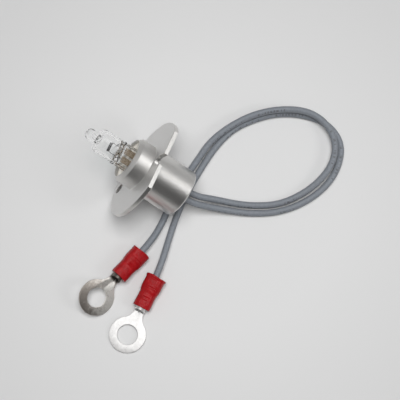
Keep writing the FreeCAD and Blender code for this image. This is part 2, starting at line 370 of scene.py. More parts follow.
def prism(levels):
    """A closed solid through outlines of (x, y) at rising heights."""
    rings = [level_ring(outline, height) for height, outline in levels]
    shape = ring_bands(rings)
    shape.verts.ensure_lookup_table()
    count = len(rings[0])
    shape.faces.new(reversed(shape.verts[:count]))
    shape.faces.new(shape.verts[-count:])
    return shape


# Materials


def new_material(name, color, roughness, metallic=0.0):
    made = bpy.data.materials.new(name)
    made.use_nodes = True
    tree = made.node_tree
    skin = tree.nodes["Principled BSDF"]
    feed(tree, skin, Base_Color=(*color, 1), Roughness=roughness, Metallic=metallic)
    return made, tree, skin


def fill(tree, socket, value):
    """Sets a socket to a plain value, or links it to another node's output."""
    if isinstance(value, bpy.types.NodeSocket):
        tree.links.new(value, socket)
    else:
        socket.default_value = value


def feed(tree, target, **values):
    for name, value in values.items():
        fill(tree, target.inputs[name.replace("_", " ")], value)


def node(tree, kind, settings=None, **values):
    made = tree.nodes.new(kind)
    for name, value in (settings or {}).items():
        setattr(made, name, value)
    feed(tree, made, **values)
    return made


def fed_in_turn(tree, made, values):
    """Fills a node's sockets in their own order."""
    for socket, value in zip(made.inputs, values):
        fill(tree, socket, value)
    return made.outputs


def math_node(tree, operation, *values):
    made = node(tree, "ShaderNodeMath", {"operation": operation})
    return fed_in_turn(tree, made, values)[0]


def times(tree, first, *others):
    for other in others:
        first = math_node(tree, "MULTIPLY", first, other)
    return first


def above(tree, value, limit):
    return math_node(tree, "GREATER_THAN", value, limit)


def vector_node(tree, operation, *values, **others):
    made = node(tree, "ShaderNodeVectorMath", {"operation": operation}, **others)
    outputs = fed_in_turn(tree, made, values)
    return outputs["Value" if operation in ("DOT_PRODUCT", "DISTANCE") else "Vector"]


def separated(tree, vector):
    return node(tree, "ShaderNodeSeparateXYZ", Vector=vector).outputs


def combined(tree, x, y, z):
    return node(tree, "ShaderNodeCombineXYZ", X=x, Y=y, Z=z).outputs[0]


def ramp(tree, value, stops):
    made = node(tree, "ShaderNodeValToRGB", Fac=value)
    points = made.color_ramp.elements
    while len(points) < len(stops):
        points.new(0.5)
    for point, (place, color) in zip(points, stops):
        point.position = place
        point.color = (*color, 1) if hasattr(color, "__len__") else (color, color, color, 1)
    return made.outputs[0]


def colour_mix(tree, factor, first, second):
    made = node(tree, "ShaderNodeMix", {"data_type": "RGBA"})
    fill(tree, made.inputs[0], factor)
    for socket, value in zip((made.inputs[6], made.inputs[7]), (first, second)):
        fill(tree, socket, (*value, 1) if isinstance(value, tuple) else value)
    return made.outputs[2]


def local_coordinates(tree, matrix=None):
    """Object coordinates in millimetres, in the frame of one piece."""
    place = node(tree, "ShaderNodeTexCoord").outputs["Object"]
    mapping = node(tree, "ShaderNodeMapping", {"vector_type": "TEXTURE"}, Vector=place, Scale=(mm, mm, mm))
    if matrix:
        feed(tree, mapping, Location=matrix.translation, Rotation=matrix.to_euler())
    return mapping.outputs[0]


def noise_of(tree, vector, scale, detail=4.0, roughness=0.55, distortion=0.0):
    made = node(tree, "ShaderNodeTexNoise", Vector=vector, Scale=scale, Detail=detail,
                Roughness=roughness, Distortion=distortion)
    return made.outputs["Fac"]


def lines_of(tree, value, scale, detail=3.0):
    made = node(tree, "ShaderNodeTexNoise", {"noise_dimensions": "1D"}, W=value, Scale=scale, Detail=detail)
    return made.outputs["Fac"]


def bump(tree, skin, height, strength, distance):
    made = node(tree, "ShaderNodeBump", Strength=strength, Distance=distance, Height=height)
    feed(tree, skin, Normal=made.outputs[0])


def scaled(tree, value, low, high):
    """A value from 0 to 1 made to run from low to high."""
    return node(tree, "ShaderNodeMapRange", Value=value, To_Min=low, To_Max=high).outputs[0]


def turned_aluminium():
    """Fine rings on the faces and fine threads on the sides, with a sandy grain over both."""
    made, tree, skin = new_material("turned_aluminium", (0.67, 0.665, 0.655), 0.3, 1.0)
    place = local_coordinates(tree, lamp)
    x, y, z = separated(tree, place)
    across = math_node(tree, "ADD", math_node(tree, "POWER", x, 2), math_node(tree, "POWER", y, 2))
    radius = math_node(tree, "SQRT", across)
    axis = lamp.to_3x3() @ Vector((0, 0, 1))
    normal = node(tree, "ShaderNodeNewGeometry").outputs["Normal"]
    faced = above(tree, math_node(tree, "ABSOLUTE", vector_node(tree, "DOT_PRODUCT", normal, axis)), 0.95)
    rings = times(tree, lines_of(tree, radius, 6.0), faced)
    threads = times(tree, lines_of(tree, z, 6.0), math_node(tree, "SUBTRACT", 1, faced))
    grain = noise_of(tree, place, 5.0, 3.0, 0.6)
    height = math_node(tree, "MULTIPLY_ADD", grain, 1.6, math_node(tree, "ADD", rings, threads))
    bump(tree, skin, height, 0.25, 0.05 * mm)
    tone = colour_mix(tree, faced, (0.68, 0.67, 0.652), (0.72, 0.715, 0.707))
    haze = scaled(tree, noise_of(tree, place, 1.6, 5.0, 0.7), 0.27, 0.41)
    duller = math_node(tree, "MAXIMUM", faced, above(tree, z, 0.5))
    feed(tree, skin, Base_Color=tone, Roughness=math_node(tree, "MULTIPLY_ADD", duller, 0.08, haze))
    return made


def clear_quartz():
    """Clear glass that lets the light of the lamps through to the floor."""
    made, tree, skin = new_material("quartz", (1.0, 1.0, 1.0), 0.0)
    feed(tree, skin, Transmission_Weight=1.0, IOR=1.458)
    waves = noise_of(tree, local_coordinates(tree, lamp), 0.55, 2.0, 0.4)
    bump(tree, skin, waves, 0.08, 0.2 * mm)
    clear = node(tree, "ShaderNodeBsdfTransparent", Color=(0.93, 0.94, 0.94, 1))
    path = node(tree, "ShaderNodeLightPath")
    choices = (path.outputs["Is Shadow Ray"], skin.outputs[0], clear.outputs[0])
    mixed = fed_in_turn(tree, node(tree, "ShaderNodeMixShader"), choices)[0]
    feed(tree, tree.nodes["Material Output"], Surface=mixed)
    return made


def drawn_wire(name, color, roughness):
    made, tree, skin = new_material(name, color, roughness, 1.0)
    scuffs = noise_of(tree, local_coordinates(tree), 14.0, 4.0)
    feed(tree, skin, Roughness=scaled(tree, scuffs, roughness * 0.7, roughness * 1.4))
    bump(tree, skin, scuffs, 0.15, 0.02 * mm)
    return made


def molybdenum_foil():
    made, tree, skin = new_material("molybdenum_foil", (0.4, 0.3, 0.2), 0.42, 0.75)
    blotches = noise_of(tree, local_coordinates(tree, lamp), 2.6, 6.0, 0.75, 0.6)
    color = ramp(tree, blotches, [(0.3, (0.14, 0.11, 0.08)), (0.45, (0.31, 0.245, 0.175)),
                                  (0.56, (0.47, 0.385, 0.30)), (0.72, (0.72, 0.64, 0.56))])
    feed(tree, skin, Base_Color=color)
    bump(tree, skin, blotches, 0.6, 0.15 * mm)
    return made


def ceramic_cement():
    made, tree, skin = new_material("cement", (0.80, 0.76, 0.68), 0.9)
    place = local_coordinates(tree, lamp)
    stain = noise_of(tree, place, 0.8, 3.0)
    feed(tree, skin, Base_Color=ramp(tree, stain, [(0.3, (0.80, 0.75, 0.66)), (0.7, (0.91, 0.89, 0.85))]))
    bump(tree, skin, noise_of(tree, place, 5.0, 8.0, 0.7), 0.7, 0.25 * mm)
    return made


def lead_jacket(name):
    """Grey vinyl with a faint row of plain dashes, on the tube's own map: turn and length."""
    made, tree, skin = new_material(name, (0.21, 0.235, 0.265), 0.42)
    along = node(tree, "ShaderNodeUVMap", {"uv_map": "along"})
    turn, length, _ = separated(tree, along.outputs[0])
    place = local_coordinates(tree)
    mottle = noise_of(tree, place, 1.6, 5.0, 0.6)
    base = ramp(tree, mottle, [(0.3, (0.163, 0.177, 0.198)), (0.7, (0.207, 0.224, 0.248))])
    ink = times(tree, dashes(tree, turn, length, place), print_strength)
    marked = colour_mix(tree, ink, base, (0.06, 0.06, 0.065))
    feed(tree, skin, Base_Color=marked, Roughness=scaled(tree, mottle, 0.36, 0.5), Specular_IOR_Level=0.45)
    streaks = lines_of(tree, turn, 34.0, 2.0)
    height = math_node(tree, "MULTIPLY_ADD", noise_of(tree, place, 7.0, 5.0), 0.7, streaks)
    bump(tree, skin, height, 0.25, 0.03 * mm)
    return made


def dashes(tree, turn, length, place):
    """1 where a worn dash lies: cells along the lead, each inked over a share of its own."""
    drift = math_node(tree, "MULTIPLY_ADD", length, print_twist, print_angle)
    around = math_node(tree, "FRACT", math_node(tree, "ADD", drift, turn))
    aside = math_node(tree, "ABSOLUTE", math_node(tree, "SUBTRACT", around, 0.5))
    in_row = math_node(tree, "LESS_THAN", aside, print_half_width)
    cells = times(tree, length, print_pitch)
    sizes = node(tree, "ShaderNodeTexWhiteNoise", {"noise_dimensions": "1D"},
                 W=math_node(tree, "FLOOR", cells))
    inked = math_node(tree, "LESS_THAN", math_node(tree, "FRACT", cells),
                      times(tree, sizes.outputs["Value"], 0.85))
    in_group = above(tree, lines_of(tree, length, 0.07, 0.0), 0.52)
    worn = above(tree, noise_of(tree, place, 3.5, 3.0), 0.42)
    return times(tree, in_row, inked, in_group, worn)


def tinned_metal(name, clean, stained, matrix, side_gradient, mouth_shade):
    """Tin that darkens in clouds and towards one side of the ring, with painted shade over the barrel up to
    its mouth.
    """
    made, tree, skin = new_material(name, clean, 0.22, 1.0)
    place = local_coordinates(tree, matrix)
    x, y, _ = separated(tree, place)
    # Darker towards one side of the ring: a straight gradient across it, of this share.
    aside = math_node(tree, "MULTIPLY_ADD", x, -0.6 * side_gradient, times(tree, y, side_gradient))
    aside = math_node(tree, "ADD", aside, 0.6 * side_gradient * ring_place / mm)
    cloud = math_node(tree, "ADD", noise_of(tree, place, 0.9, 5.0, 0.65), aside)
    color = ramp(tree, cloud, [(0.35, stained), (0.65, clean)])
    # Painted shade: the colour darkens over the barrel up to its mouth and lightens again 0.6 mm beyond,
    # where the barrel meets the sleeve's front end and the tongue.
    beyond = math_node(tree, "SUBTRACT", x, (barrel_end + barrel_bevel) / mm)
    mouth_shade_mask = ramp(tree, beyond, [(0.0, 0.0), (0.6, 1.0)])
    color = colour_mix(tree, mouth_shade_mask, tuple(mouth_shade * channel for channel in stained), color)
    speckle = noise_of(tree, place, 4.5, 6.0, 0.7)
    feed(tree, skin, Base_Color=color, Roughness=scaled(tree, speckle, 0.22, 0.36))
    bump(tree, skin, speckle, 0.3, 0.04 * mm)
    return made


def red_vinyl(name, matrix):
    made, tree, skin = new_material(name, (0.33, 0.01, 0.014), 0.34)
    place = local_coordinates(tree, matrix)
    cloud = noise_of(tree, place, 0.7, 5.0, 0.6)
    color = ramp(tree, cloud, [(0.3, (0.25, 0.003, 0.005)), (0.7, (0.36, 0.007, 0.01))])
    scratches = lines_of(tree, separated(tree, place)["X"], 2.2, 5.0)
    pores = noise_of(tree, place, 6.0, 6.0, 0.7)
    bump(tree, skin, math_node(tree, "MULTIPLY_ADD", pores, 0.8, scratches), 0.35, 0.08 * mm)
    feed(tree, skin, Base_Color=color, Roughness=scaled(tree, pores, 0.16, 0.34), Specular_IOR_Level=0.28,
         Subsurface_Weight=0.05, Subsurface_Radius=(1.0, 0.15, 0.1), Subsurface_Scale=0.8 * mm)
    return made


def plain_paint(name, color, roughness, scale):
    made, tree, skin = new_material(name, color, roughness)
    grain = noise_of(tree, local_coordinates(tree), scale, 5.0)
    dark = tuple(channel * 0.85 for channel in color)
    feed(tree, skin, Base_Color=ramp(tree, grain, [(0.3, dark), (0.7, color)]))
    bump(tree, skin, grain, 0.2, 0.05 * mm)
    return made


# Leads


def lead_points(side, route, place):
    offset = (splice_offset, side * splice_spacing / 2)
    inner = lamp @ Vector((*offset, jacket_end))
    behind = lamp @ Vector((*offset, -rear_length - exit_run))
    aside = right_aside if side < 0 else 0
    before = terminal_frame(place) @ Vector((-approach_run, aside, 0))
    stop = terminal_frame(place) @ Vector((barrel_start - lead_stop, 0, 0))
    return [inner, behind] + [Vector(point) * mm for point in route] + [before, stop]


def spline_line(points):
    """The smooth line that the points control."""
    curve = bpy.data.curves.new("line", "CURVE")
    curve.dimensions = "3D"
    curve.resolution_u = 14
    spline = curve.splines.new("NURBS")
    spline.points.add(len(points) - 1)
    for knot, point in zip(spline.points, points):
        knot.co = (*point, 1)
    spline.order_u = 3
    spline.use_endpoint_u = True
    carrier = added("line", curve)
    line = [vertex.co.copy() for vertex in plain_mesh(carrier).vertices]
    bpy.data.objects.remove(carrier)
    return line


def tube(line, radius, segments):
    """A closed tube round a line, mapped by turn from its upper side and by length in millimetres."""
    rings = []
    lengths = [0.0]
    for before, after in zip(line, line[1:]):
        lengths.append(lengths[-1] + (after - before).length / mm)
    side = None
    for index, point in enumerate(line):
        forward = (line[min(index + 1, len(line) - 1)] - line[max(index - 1, 0)]).normalized()
        up = Vector((0, 0, 1)) if side is None else side
        side = (up - forward * up.dot(forward)).normalized()
        across = forward.cross(side)
        rings.append([point + radius * (side * math.cos(t) + across * math.sin(t))
                      for t in turns_of(segments)])
    shape = ring_bands(rings)
    chart = shape.loops.layers.uv.new("along")
    shape.verts.ensure_lookup_table()
    for index, face in enumerate(shape.faces):
        row, step = divmod(index, segments)
        corners = ((row, step), (row, step + 1), (row + 1, step + 1), (row + 1, step))
        for loop, (ring, turn) in zip(face.loops, corners):
            loop[chart].uv = (turn / segments, lengths[ring])
    shape.faces.new(reversed(shape.verts[:segments]))
    shape.faces.new(shape.verts[-segments:])
    return shape, lengths[-1] * mm


def make_lead(name, side, route, place, skin):
    line = spline_line(lead_points(side, route, place))
    shape, length = tube(line, lead_radius, 32)
    piece = mount_piece(shown("jacket_" + name, shape, 50), "lead_" + name, skin)
    return piece


# Holder


def notch_outline(grow):
    reach = 2 * flange_radius
    radius = notch_radius + grow
    turns = [math.pi / 2 + turn for turn in spread(0, math.pi, 32)]
    round_end = [(notch_centre + radius * math.cos(t), radius * math.sin(t)) for t in turns]
    return [(reach, radius)] + round_end + [(reach, -radius)]


def flat_outline(inset):
    reach = 2 * flange_radius
    near = flat_distance - inset
    return [(near, -reach), (reach, -reach), (reach, reach), (near, reach)]


def hole_outline(grow):
    centre = (screw_hole_place * math.cos(screw_hole_angle),
              screw_hole_place * math.sin(screw_hole_angle))
    return circle_outline(screw_hole_radius + grow, 64, centre)


def through_cutter(name, outline_at):
    """A cutter through the flange that flares at both faces, which leaves a small chamfer."""
    back = -flange_thickness
    wide = outline_at(cut_chamfer + cut_flare)
    levels = [(back - cut_flare, wide), (back + cut_chamfer, outline_at(0)),
              (-cut_chamfer, outline_at(0)), (cut_flare, wide)]
    return shown(name, outward(prism(levels)))


def make_holder():
    tip = collar_height + nose_height
    back = -flange_thickness
    end = -rear_length
    corners = [
        (bore_radius, tip, mouth_round), (collar_radius - nose_width, tip, edge_round / 2),
        (collar_radius, collar_height, edge_round), (collar_radius, 0, junction_fillet),
        (flange_radius, 0, edge_round), (flange_radius, back, edge_round),
        (rear_radius, back, junction_fillet), (rear_radius, end + rear_chamfer, edge_round),
        (rear_radius - rear_chamfer, end, edge_round / 2), (bore_radius, end, edge_round)]
    body = shown("lamp_holder", outward(revolved(rounded(corners), 256)))
    outlines = {"flat_cutter": flat_outline, "notch_cutter": notch_outline, "hole_cutter": hole_outline}
    cutters = [through_cutter(name, outline_at) for name, outline_at in outlines.items()]
    combine(body, cutters, "DIFFERENCE")
    return put(body, lamp)


# Capsule


def clamped(share):
    return min(max(share, 0), 1)


def blend_step(value, low, high):
    share = clamped((value - low) / (high - low))
    return share * share * (3 - 2 * share)


def squared_radius(cosine, sine, half_x, half_y, power):
    """Reach of a rounded rectangle along one direction: an ellipse at power 2, squarer above."""
    return (abs(cosine / half_x) ** power + abs(sine / half_y) ** power) ** (-1 / power)


def wall_ring(height, half_x, half_y, power, segments):
    ring = []
    for step in range(segments):
        turn = math.tau * (step + 0.5) / segments
        cosine, sine = math.cos(turn), math.sin(turn)
        radius = squared_radius(cosine, sine, half_x, half_y, power)
        ring.append(Vector((radius * cosine, radius * sine, height)))
    return ring


def pinch_ring(height, segments):
    """One ring of the outer wall, from the flat pinch over its lip up to the round bulb."""
    climb = clamped((height - pinch_top) / (shoulder_top - pinch_top))
    share = 1 - (1 - climb) ** 1.8
    half_x = pinch_half_thickness + (bulb_radius - pinch_half_thickness) * share
    half_y = pinch_half_width + (bulb_radius - pinch_half_width) * share
    power = pinch_squareness + (2 - pinch_squareness) * share ** 0.6
    ring = wall_ring(height, half_x, half_y, power, segments)
    lip = lip_height * math.exp(-((height - pinch_top + lip_drop) / lip_spread) ** 2)
    for point in ring:
        from_bead = (abs(point.y) - (pinch_half_width - bead_radius)) / (0.55 * bead_radius)
        bead = bead_rise * math.exp(-from_bead ** 2) * (1 - share)
        raised = max(bead, lip) * min(abs(point.x) / (0.6 * half_x), 1)
        point.x += math.copysign(raised, point.x)
    return ring


def cavity_ring(height, segments):
    """One ring of the hollow, which narrows towards the pinch like a wedge with a round foot."""
    drop = max((cavity_shoulder - height) / (cavity_shoulder - cavity_floor), 0)
    reach = bulb_radius - glass_wall
    half_x = reach * math.sqrt(1 - drop ** 2)
    half_y = reach * (1 - drop ** 4) ** 0.25
    return wall_ring(height, half_x, half_y, 2, segments)


def dome_outline(radius, neck, swell, base, top, tip, steps=16):
    """The dome and pip as (radius, height), from the cylinder up to the pole."""
    points = []
    for turn in spread(0, math.pi / 2, steps):
        points.append((neck + (radius - neck) * math.cos(turn), base + (top - base) * math.sin(turn)))
    for step in range(1, steps):
        share = step / steps
        wave = neck + (swell - neck) * math.sin(math.pi / 2 * share)
        points.append((wave, top + (tip - swell - top) * share))
    for turn in spread(0, math.pi / 2, steps):
        points.append((swell * math.cos(turn), tip - swell + swell * math.sin(turn)))
    points[-1] = (0, tip)
    return points


def lumpy(point):
    """Waves in the pip, where the filling tube was melted shut by hand."""
    share = blend_step(point.z, dome_base + dome_height - 0.4 * mm, pip_top - pip_radius)
    drift = noise.noise_vector(point / (1.1 * mm)) * 0.17 * mm
    return point + Vector((drift.x, drift.y, drift.z * 0.6)) * share


def turned_rings(outline, segments):
    rings = []
    for radius, height in outline:
        if radius == 0:
            rings.append([Vector((0, 0, height))])
        else:
            rings.append(wall_ring(height, radius, radius, 2, segments))
    return rings


def outer_wall(segments):
    noise.seed_set(pip_seed)
    heights = spread(pinch_bottom, pinch_top - 0.6 * mm, 12)
    heights += spread(pinch_top - 0.5 * mm, shoulder_top, 48)
    rings = [[Vector((0, 0, pinch_bottom))]] + [pinch_ring(height, segments) for height in heights]
    outline = dome_outline(bulb_radius, pip_neck_radius, pip_radius, dome_base,
                           dome_base + dome_height, pip_top)
    rings += [[lumpy(point) for point in ring] for ring in turned_rings(outline, segments)]
    return outward(ring_bands(rings))


def inner_wall(segments):
    outline = dome_outline(bulb_radius - glass_wall, capillary_radius, capillary_radius, dome_base,
                           dome_base + dome_height - glass_wall, capillary_top)
    foot = cavity_floor + (cavity_shoulder - cavity_floor) * 0.02
    heights = [cavity_shoulder + (foot - cavity_shoulder) * math.sin(math.pi / 2 * (1 - step / 24))
               for step in range(25)]
    rings = [[Vector((0, 0, cavity_floor))]] + [cavity_ring(height, segments) for height in heights]
    wall = outward(ring_bands(rings + turned_rings(outline, segments)))
    bmesh.ops.reverse_faces(wall, faces=wall.faces)
    return wall


def make_bulb():
    joined = bmesh.new()
    joined.from_mesh(mesh_of("bulb", outer_wall(160)))
    joined.from_mesh(mesh_of("hollow", inner_wall(160)))
    return put(shown("quartz_bulb", joined, 60), lamp)


# Filament


def tree_with_inputs(name, sizes):
    tree = bpy.data.node_groups.new(name, "GeometryNodeTree")
    tree.interface.new_socket("Geometry", in_out="OUTPUT", socket_type="NodeSocketGeometry")
    for label in sizes:
        tree.interface.new_socket(label, in_out="INPUT", socket_type="NodeSocketFloat")
    tree.interface.new_socket("Material", in_out="INPUT", socket_type="NodeSocketMaterial")
    return tree, node(tree, "NodeGroupInput").outputs, node(tree, "NodeGroupOutput").inputs


def finish_tree(tree, geometry, inputs, outputs):
    real = node(tree, "GeometryNodeRealizeInstances", Geometry=geometry).outputs[0]
    painted = node(tree, "GeometryNodeSetMaterial", Geometry=real, Material=inputs["Material"])
    tree.links.new(painted.outputs[0], outputs[0])


def curve_of(tree, line):
    return node(tree, "GeometryNodeMeshToCurve", Mesh=line.outputs[0]).outputs[0]


def moved(tree, geometry, place):
    return node(tree, "GeometryNodeSetPosition", Geometry=geometry, Position=place).outputs[0]


def grown(name, tree, sizes, skin):
    """A plain mesh grown by a node tree with these sizes."""
    piece = added(name, bpy.data.meshes.new(name))
    modifier = piece.modifiers.new(name, "NODES")
    modifier.node_group = tree
    for socket in tree.interface.items_tree:
        if socket.in_out == "INPUT":
            modifier[socket.identifier] = sizes.get(socket.name, skin)
    return settle(piece, 50)


def round_wire(tree, curve, radius, sides):
    profile = node(tree, "GeometryNodeCurvePrimitiveCircle", {"mode": "RADIUS"}, Resolution=sides,
                   Radius=radius).outputs[0]
    made = node(tree, "GeometryNodeCurveToMesh", Curve=curve, Profile_Curve=profile, Fill_Caps=True)
    return made.outputs[0]


def coil_tree(sizes):
    """A fine wire wound round a helix: a coiled coil along y, centred on the origin."""
    tree, inputs, outputs = tree_with_inputs("coiled_coil", sizes)
    points = times(tree, inputs["Winding Turns"], points_per_winding)
    curve = curve_of(tree, node(tree, "GeometryNodeMeshLine", Count=points))
    index = node(tree, "GeometryNodeInputIndex").outputs[0]
    share = math_node(tree, "DIVIDE", index, math_node(tree, "SUBTRACT", points, 1))
    turn = times(tree, share, inputs["Coil Turns"], math.tau)
    cosine = math_node(tree, "COSINE", turn)
    sine = math_node(tree, "SINE", turn)
    outward_way = combined(tree, cosine, 0, sine)
    rise = math_node(tree, "DIVIDE", inputs["Coil Length"], times(tree, inputs["Coil Turns"], math.tau))
    forward_x = times(tree, sine, inputs["Coil Radius"], -1)
    forward_z = times(tree, cosine, inputs["Coil Radius"])
    forward = vector_node(tree, "NORMALIZE", combined(tree, forward_x, rise, forward_z))
    sideways = vector_node(tree, "CROSS_PRODUCT", forward, outward_way)
    winding = times(tree, share, inputs["Winding Turns"], math.tau)
    winding_out = times(tree, math_node(tree, "COSINE", winding), inputs["Winding Radius"])
    winding_side = times(tree, math_node(tree, "SINE", winding), inputs["Winding Radius"])
    reach = math_node(tree, "ADD", winding_out, inputs["Coil Radius"])
    along = times(tree, math_node(tree, "SUBTRACT", share, 0.5), inputs["Coil Length"])
    place = vector_node(tree, "ADD", vector_node(tree, "SCALE", outward_way, Scale=reach),
                        vector_node(tree, "SCALE", sideways, Scale=winding_side))
    place = vector_node(tree, "ADD", place, combined(tree, 0, along, 0))
    wire = round_wire(tree, moved(tree, curve, place), inputs["Wire Radius"], 5)
    finish_tree(tree, wire, inputs, outputs)
    return tree


def make_coil(skin):
    sizes = {"Coil Length": coil_length, "Coil Radius": coil_radius, "Coil Turns": coil_turns,
             "Winding Radius": winding_radius, "Winding Turns": winding_turns, "Wire Radius": wire_radius}
    coil = grown("filament_coil", coil_tree(sizes), sizes, skin)
    return put(coil, Matrix.Translation((0, 0, filament_height)))


def tail_line(side):
    """From the coil's end down to the foil, on its face."""
    on_foil = foil_thickness / 2 + tail_radius
    half = coil_length / 2
    end = Vector((coil_radius, side * half, filament_height))
    bend = Vector((on_foil * 1.6, side * (half + 0.16 * mm), filament_height - tail_bend_drop))
    knee = Vector((on_foil, side * (half + 0.1 * mm), filament_height - tail_knee_drop))
    foot = Vector((on_foil, side * foil_spacing / 2, tail_end))
    return spline_line([end, bend, knee, foot])


def make_filament(skin):
    coil = make_coil(skin)
    shape = bmesh.new()
    shape.from_mesh(coil.data)
    for side in (-1, 1):
        tail, _ = tube(tail_line(side), tail_radius * 0.8, 12)
        shape.from_mesh(mesh_of("tail", tail))
    bpy.data.objects.remove(coil)
    return put(shown("filament_wire", shape, 50), lamp)


# Cement


def cement_face(radius, reach, face, way, seed, segments):
    """One ring of the uneven face, which creeps up the wall."""
    creep = creep_height * math.exp(-((reach - radius) / creep_width) ** 2)
    ring = []
    for x, y in circle_outline(radius, segments):
        lumps = noise.noise(Vector((x, y, seed * mm)) / (0.9 * mm)) * 0.16 * mm
        grain = noise.noise(Vector((x, y, seed * mm)) / (0.25 * mm)) * 0.05 * mm
        ring.append(Vector((x, y, face + way * (creep + lumps + grain))))
    return ring


def make_cement(name, face, depth, way, seed):
    """A plug of cement in the bore. Its face looks along the axis where way is 1."""
    segments = 96
    rows = 40
    reach = bore_radius - 0.01 * mm
    far = face - way * depth
    rings = [[Vector((0, 0, far))], level_ring(circle_outline(reach, segments), far)]
    for row in range(rows):
        rings.append(cement_face(reach * (1 - row / rows), reach, face, way, seed, segments))
    rings.append([Vector((0, 0, face))])
    return put(shown(name, outward(ring_bands(rings)), 60), lamp)


# Ring terminals


def plate_outline(grow, steps=28):
    """Half width of the tongue, its flare and the ring, as a closed outline grown outwards."""
    half = barrel_radius
    start = neck_start + neck_straight
    reach = ring_place - start
    flare = (reach ** 2 + half ** 2 - ring_radius ** 2) / (2 * (ring_radius - half))
    flare_centre = Vector((start, half + flare))
    to_ring = (Vector((ring_place, 0)) - flare_centre).normalized()
    flare_end = math.atan2(to_ring.y, to_ring.x)
    upper = [(neck_start, half + grow)]
    for turn in spread(-math.pi / 2, flare_end, steps):
        upper.append((flare_centre.x + (flare - grow) * math.cos(turn),
                      flare_centre.y + (flare - grow) * math.sin(turn)))
    ring_start = flare_end + math.pi
    for step in range(1, 3 * steps + 1):
        turn = ring_start * (1 - step / (3 * steps))
        upper.append((ring_place + (ring_radius + grow) * math.cos(turn),
                      (ring_radius + grow) * math.sin(turn)))
    lower = [(x, -y) for x, y in reversed(upper[:-1])]
    return upper + lower


def rounded_levels(low, high, radius, outline_at, steps=4):
    """Outlines from low to high with a rounded edge at both faces."""
    levels = [(low + radius * (1 - math.cos(turn)), outline_at(-radius * (1 - math.sin(turn))))
              for turn in spread(0, math.pi / 2, steps)]
    upper = [(low + high - height, outline) for height, outline in reversed(levels)]
    return levels + upper


def along_x(piece):
    return put(piece, Matrix.Rotation(math.pi / 2, 4, "Y"))


def box(name, size, matrix):
    shape = bmesh.new()
    bmesh.ops.create_cube(shape, size=size)
    return put(shown(name, shape), matrix)


def eye_cutter(low, high):
    """A round cutter that flares beyond both faces of the ring."""
    beyond = 1 * mm
    wide = circle_outline(ring_hole_radius + beyond + eye_chamfer, 96, (ring_place, 0))
    straight = circle_outline(ring_hole_radius, 96, (ring_place, 0))
    levels = [(low - beyond, wide), (low + eye_chamfer, straight),
              (high - eye_chamfer, straight), (high + beyond, wide)]
    return shown("eye", outward(prism(levels)))


def make_barrel():
    """The rolled barrel, cut at a slope towards the tongue and open along its seam."""
    front = barrel_end + barrel_bevel
    corners = [(barrel_radius, barrel_start, barrel_round), (barrel_radius, front, barrel_round),
               (barrel_bore_radius, front, barrel_round), (barrel_bore_radius, barrel_start, barrel_round)]
    barrel = along_x(shown("barrel", outward(revolved(rounded(corners), 64))))
    slope = math.atan2(barrel_bevel, 2 * barrel_radius)
    half = 4 * barrel_radius
    sloped = Matrix.Rotation(-slope, 4, "Y") @ Matrix.Translation((half, 0, 0))
    at_end = Matrix.Translation((barrel_end + barrel_bevel / 2, 0, 0))
    combine(barrel, [box("bevel", 2 * half, at_end @ sloped)], "DIFFERENCE")
    over_seam = Matrix.Translation(((barrel_start + barrel_end) / 2, 0, barrel_radius * 1.1))
    seam = Matrix.Diagonal((10 * mm, seam_width, barrel_radius, 1))
    combine(barrel, [box("seam", 1, over_seam @ seam)], "DIFFERENCE")
    return barrel


def make_terminal(name, place):
    low = -barrel_radius
    high = low + ring_thickness
    plate = shown(name, outward(prism(rounded_levels(low, high, plate_round, plate_outline))))
    barrel = make_barrel()
    bore_circle = circle_outline(barrel_bore_radius, 64)
    bore_levels = [(barrel_start, bore_circle), (barrel_end + barrel_bevel, bore_circle)]
    bore = along_x(shown("bore", outward(prism(bore_levels))))
    combine(plate, [eye_cutter(low, high), bore], "DIFFERENCE")
    combine(plate, [barrel], "UNION")
    return put(plate, terminal_frame(place))


# Vinyl sleeves


def sleeve_half_sizes(share):
    """Half width and half height along the sleeve, from its rear flare over the crimped waist."""
    for (start, *sizes), (end, *next_sizes) in zip(sleeve_stations, sleeve_stations[1:]):
        if share <= end:
            part = blend_step(share, start, end)
            return [(size + (after - size) * part) * mm for size, after in zip(sizes, next_sizes)]


def dent(x, y, depth, centre, half, edge):
    """Depth at a point of the sleeve, pressed by a rectangle with soft edges, in millimetres."""
    inside_x = 1 - blend_step(abs(x - centre[0]), half[0] - edge, half[0] + edge)
    inside_y = 1 - blend_step(abs(y - centre[1]), half[1] - edge, half[1] + edge)
    return depth * inside_x * inside_y


def sleeve_press(x, y, upper, plain):
    """Depth that crimping pressed into the sleeve's upper or lower side, in millimetres."""
    if not upper:
        return dent(x, y, 0.22, (6.9, 0), (2.1, 1.6), 0.25)
    if plain:
        groove = dent(x, y, 0.11, (3.2, 0), (0.12, 2.6), 0.14)
        return groove + dent(x, y, 0.07, (6.3, 0), (0.2, 2.6), 0.2)
    rear_pad = dent(x, y, 0.1, (1.95, -0.4), (0.75, 1.1), 0.14)
    front_pad = dent(x, y, 0.11, (8.9, 0), (0.75, 0.9), 0.14)
    grooves = dent(x, y, 0.12, (3.8, 0), (0.1, 2.6), 0.12)
    grooves += dent(x, y, 0.2, (7.2, 0.2), (0.08, 1.3), 0.1)
    grooves += dent(x, y, 0.12, (0.85, 0), (0.08, 4), 0.12)
    return rear_pad + front_pad + grooves


def slump(turn, share, seed):
    """How far the sleeve's rear end sags along its length."""
    return sleeve_slump * math.cos(turn * 2 + seed) * (1 - share) ** 3


